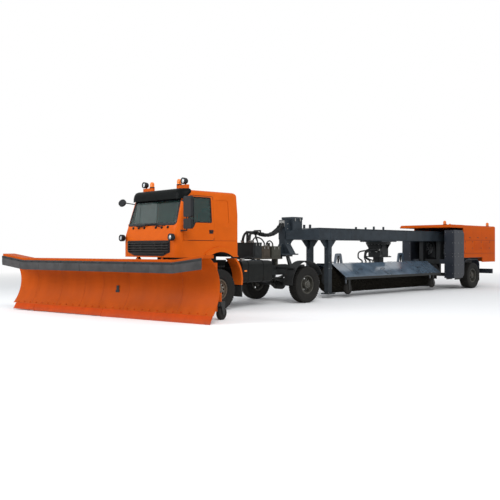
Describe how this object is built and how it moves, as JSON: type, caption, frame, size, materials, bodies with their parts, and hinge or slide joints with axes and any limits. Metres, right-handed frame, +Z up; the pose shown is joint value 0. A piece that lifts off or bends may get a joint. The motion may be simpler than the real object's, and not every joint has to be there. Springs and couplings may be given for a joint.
{
  "type": "airport snowplow",
  "caption": "Articulated airport snow clearer: cab-over tractor with a wide swinging front plow, towing a gooseneck trailer with a slewing sweeping brush and rear blower.",
  "frame": {"origin": "on the ground under the middle of the overall length and width", "axes": "+X forward, +Y to the vehicle's left, +Z up"},
  "size_m": [20.3997, 6.8492, 3.527],
  "materials": {
    "orange_paint": "gloss",
    "edge_paint": "satin",
    "black_steel": "satin",
    "grey_steel": "satin",
    "hood_steel": "gloss",
    "tank_paint": "satin",
    "tyre": "matte",
    "rim_paint": "satin",
    "rubber": "matte",
    "glass": "gloss",
    "seat_cloth": "matte",
    "amber_lamp": "gloss",
    "dark_plastic": "matte",
    "piston_steel": "polished",
    "bristle": "matte"
  },
  "bodies": {
    "tractor": {"chassis_frame": "black_steel", "engine_block": "black_steel", "axles": "black_steel", "side_tanks": "tank_paint", "rear_mudguards": "black_steel", "fifth_wheel": "black_steel", "deck_equipment": "tank_paint", "bumper": "orange_paint", "front_fenders": "orange_paint", "umbilical_hoses": "rubber"},
    "cab": {"cab_shell": "orange_paint", "grille": "dark_plastic", "windscreen": "glass", "cab_interior": "dark_plastic", "seats": "seat_cloth", "sun_visor": "dark_plastic", "mirrors": "dark_plastic", "cab_lamps": "orange_paint"},
    "left_door": {"door_left": "orange_paint", "door_left_glass": "glass"},
    "right_door": {"door_right": "orange_paint", "door_right_glass": "glass"},
    "left_hub": {"knuckle_left": "black_steel"},
    "right_hub": {"knuckle_right": "black_steel"},
    "front_left_wheel": {"tyre_front_left": "tyre", "rim_front_left": "rim_paint"},
    "front_right_wheel": {"tyre_front_right": "tyre", "rim_front_right": "rim_paint"},
    "rear_left_wheel": {"tyre_rear_left": "tyre", "rim_rear_left": "rim_paint"},
    "rear_right_wheel": {"tyre_rear_right": "tyre", "rim_rear_right": "rim_paint"},
    "plow_arms": {"push_frame": "orange_paint"},
    "lift_tube": {"lift_barrel": "black_steel"},
    "lift_piston": {"lift_rod": "piston_steel"},
    "swing_tube": {"swing_barrel": "black_steel"},
    "swing_piston": {"swing_rod": "piston_steel"},
    "blade": {"moldboard": "orange_paint", "cutting_edge": "edge_paint", "snow_flap": "rubber"},
    "plow_caster_left": {"plow_fork_left": "black_steel"},
    "plow_caster_right": {"plow_fork_right": "black_steel"},
    "plow_roller_left": {"plow_wheel_left": "tyre"},
    "plow_roller_right": {"plow_wheel_right": "tyre"},
    "trailer": {"trailer_frame": "grey_steel", "trailer_axle": "black_steel", "engine_hood": "orange_paint", "rear_panels": "black_steel", "power_unit": "black_steel", "trailer_lamps": "amber_lamp"},
    "trailer_left_wheel": {"trailer_tyre_left": "tyre", "trailer_rim_left": "rim_paint"},
    "trailer_right_wheel": {"trailer_tyre_right": "tyre", "trailer_rim_right": "rim_paint"},
    "brush_table": {"brush_turntable": "black_steel"},
    "brush_frame": {"brush_carriage": "black_steel", "brush_hood": "hood_steel"},
    "brush": {"brush_rotor": "bristle"},
    "brush_roller_front": {"brush_wheel_front": "tyre"},
    "brush_roller_rear": {"brush_wheel_rear": "tyre"}
  },
  "joints": [
    {"name": "cab_tilt", "type": "hinge", "parent": "tractor", "child": "cab", "pos_m": [7.505, -0.163, 1.38], "axis": [0, 1, 0], "range_deg": [0, 45]},
    {"name": "door_left_swing", "type": "hinge", "parent": "cab", "child": "left_door", "pos_m": [7.358, 1.086, 2.1], "axis": [0, 0, 1], "range_deg": [-70, 0]},
    {"name": "door_right_swing", "type": "hinge", "parent": "cab", "child": "right_door", "pos_m": [7.358, -1.412, 2.1], "axis": [0, 0, -1], "range_deg": [-70, 0]},
    {"name": "steer_left", "type": "hinge", "parent": "tractor", "child": "left_hub", "pos_m": [6.115, 0.637, 0.562], "axis": [0, 0, 1], "range_deg": [-32, 32]},
    {"name": "steer_right", "type": "hinge", "parent": "tractor", "child": "right_hub", "pos_m": [6.115, -0.963, 0.562], "axis": [0, 0, 1], "range_deg": [-32, 32]},
    {"name": "spin_front_left", "type": "hinge", "parent": "left_hub", "child": "front_left_wheel", "pos_m": [6.115, 0.912, 0.562], "axis": [0, 1, 0], "continuous": true},
    {"name": "spin_front_right", "type": "hinge", "parent": "right_hub", "child": "front_right_wheel", "pos_m": [6.115, -1.238, 0.562], "axis": [0, 1, 0], "continuous": true},
    {"name": "spin_rear_left", "type": "hinge", "parent": "tractor", "child": "rear_left_wheel", "pos_m": [2.515, 0.912, 0.562], "axis": [0, 1, 0], "continuous": true},
    {"name": "spin_rear_right", "type": "hinge", "parent": "tractor", "child": "rear_right_wheel", "pos_m": [2.515, -1.238, 0.562], "axis": [0, 1, 0], "continuous": true},
    {"name": "plow_lift", "type": "hinge", "parent": "tractor", "child": "plow_arms", "pos_m": [7.585, -0.163, 0.64], "axis": [0, 1, 0], "range_deg": [-12, 0]},
    {"name": "lift_tube_swivel", "type": "hinge", "parent": "tractor", "child": "lift_tube", "pos_m": [7.655, -0.163, 1.03], "axis": [0, 1, 0], "range_deg": [-11.54, 0.5]},
    {"name": "lift_stroke", "type": "slide", "parent": "lift_tube", "child": "lift_piston", "axis": [0.924, 0, -0.3824], "range_m": [-0.0843, 0.002]},
    {"name": "plow_swing", "type": "hinge", "parent": "plow_arms", "child": "blade", "pos_m": [8.775, -0.163, 0.66], "axis": [0, 0, 1], "range_deg": [-42.5, 17.5]},
    {"name": "swing_tube_swivel", "type": "hinge", "parent": "plow_arms", "child": "swing_tube", "pos_m": [7.755, 0.207, 0.86], "axis": [0, 0, 1], "range_deg": [-1.4, 2.98]},
    {"name": "swing_stroke", "type": "slide", "parent": "swing_tube", "child": "swing_piston", "axis": [0.9994, 0.0335, 0], "range_m": [-0.1316, 0.3152]},
    {"name": "plow_caster_left_turn", "type": "hinge", "parent": "blade", "child": "plow_caster_left", "pos_m": [7.64301, 2.77155, 0.5], "axis": [0, 0, 1], "continuous": true},
    {"name": "plow_caster_right_turn", "type": "hinge", "parent": "blade", "child": "plow_caster_right", "pos_m": [8.95464, -3.1448, 0.5], "axis": [0, 0, 1], "continuous": true},
    {"name": "plow_roller_left_spin", "type": "hinge", "parent": "plow_caster_left", "child": "plow_roller_left", "pos_m": [7.56491, 2.75424, 0.155], "axis": [-0.2164, 0.9763, 0], "continuous": true},
    {"name": "plow_roller_right_spin", "type": "hinge", "parent": "plow_caster_right", "child": "plow_roller_right", "pos_m": [8.87653, -3.16212, 0.155], "axis": [-0.2164, 0.9763, 0], "continuous": true},
    {"name": "trailer_yaw", "type": "hinge", "parent": "tractor", "child": "trailer", "pos_m": [2.415, -0.163, 1.46], "axis": [0, 0, 1], "range_deg": [-60, 60], "deforming": ["umbilical_hoses"]},
    {"name": "spin_trailer_left", "type": "hinge", "parent": "trailer", "child": "trailer_left_wheel", "pos_m": [-7.985, 0.877, 0.536], "axis": [0, 1, 0], "continuous": true},
    {"name": "spin_trailer_right", "type": "hinge", "parent": "trailer", "child": "trailer_right_wheel", "pos_m": [-7.985, -1.203, 0.536], "axis": [0, 1, 0], "continuous": true},
    {"name": "brush_slew", "type": "hinge", "parent": "trailer", "child": "brush_table", "pos_m": [-2.935, -0.163, 1.85], "axis": [0, 0, 1], "range_deg": [-60, 60]},
    {"name": "brush_lift", "type": "slide", "parent": "brush_table", "child": "brush_frame", "axis": [0, 0, 1], "range_m": [-0.11, 0.03]},
    {"name": "brush_spin", "type": "hinge", "parent": "brush_frame", "child": "brush", "pos_m": [-2.935, -0.163, 0.57], "axis": [1, 0, 0], "continuous": true},
    {"name": "brush_roller_front_spin", "type": "hinge", "parent": "brush_frame", "child": "brush_roller_front", "pos_m": [-0.085, 0.587, 0.295], "axis": [0, 1, 0], "continuous": true},
    {"name": "brush_roller_rear_spin", "type": "hinge", "parent": "brush_frame", "child": "brush_roller_rear", "pos_m": [-5.485, 0.587, 0.295], "axis": [0, 1, 0], "continuous": true}
  ],
  "couplings": [
    {"joint": "steer_right", "follows": "steer_left", "ratio": 1},
    {"joint": "lift_tube_swivel", "follows": "plow_lift", "ratio": 0.92038},
    {"joint": "lift_stroke", "follows": "plow_lift", "m_per_rad": 0.39275},
    {"joint": "swing_tube_swivel", "follows": "plow_swing", "ratio": -0.06306},
    {"joint": "swing_stroke", "follows": "plow_swing", "m_per_rad": -0.42095}
  ]
}
